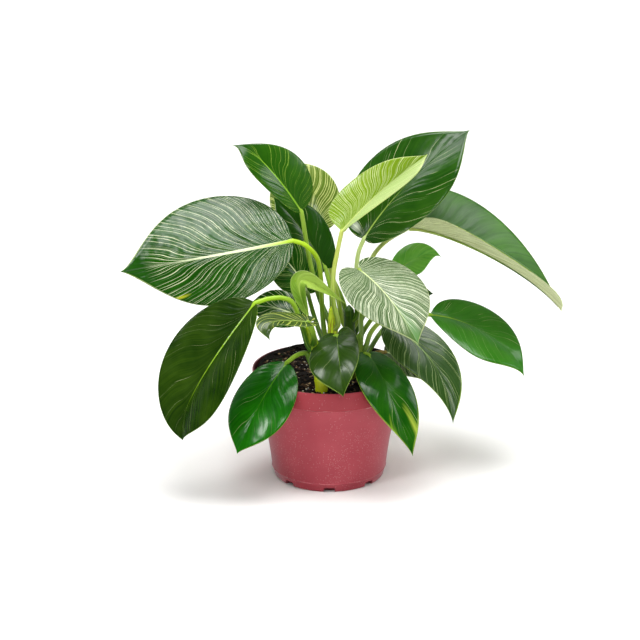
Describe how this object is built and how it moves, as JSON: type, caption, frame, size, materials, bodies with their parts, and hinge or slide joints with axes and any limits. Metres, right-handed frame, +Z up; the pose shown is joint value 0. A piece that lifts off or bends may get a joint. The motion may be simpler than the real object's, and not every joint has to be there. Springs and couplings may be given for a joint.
{
  "type": "potted philodendron",
  "caption": "Young bushy houseplant with broad pointed leaves, finely striped in cream, in a round plastic nursery pot filled with soil.",
  "frame": {"origin": "middle of the pot's flat bottom, on the surface it stands on", "axes": "+Z up along the pot's axis, -Y towards the front of the picture, +X to its right"},
  "size_m": [0.4245, 0.2539, 0.334],
  "materials": {
    "pot": "satin",
    "soil": "matte",
    "stem": "satin",
    "leaf_dark": "satin",
    "leaf_bright": "satin",
    "leaf_lime": "satin",
    "leaf_sage": "satin"
  },
  "bodies": {
    "root": {"pot": "pot", "soil": "soil", "stem_front": "stem", "stem_right": "stem", "stem_centre": "stem", "stem_back": "stem", "leaf_wide_left": "leaf_dark", "leaf_top_left": "leaf_dark", "leaf_back_left": "leaf_lime", "leaf_dark_centre": "leaf_dark", "leaf_lime_top": "leaf_lime", "leaf_top_right": "leaf_dark", "leaf_long_right": "leaf_lime", "leaf_silver_front": "leaf_sage", "leaf_small_back_right": "leaf_dark", "leaf_hidden_right": "leaf_dark", "leaf_pointed_right": "leaf_dark", "leaf_striped_low_right": "leaf_sage", "leaf_low_right": "leaf_bright", "leaf_heart_front": "leaf_dark", "leaf_low_left": "leaf_bright", "leaf_broad_low_left": "leaf_dark", "leaf_curled_left": "leaf_dark", "leaf_young_folded": "leaf_lime", "leaf_striped_mid_left": "leaf_dark", "leaf_behind_left": "leaf_dark", "leaf_under_right": "leaf_sage", "leaf_back_high": "leaf_dark", "leaf_back_low": "leaf_bright"}
  },
  "joints": []
}
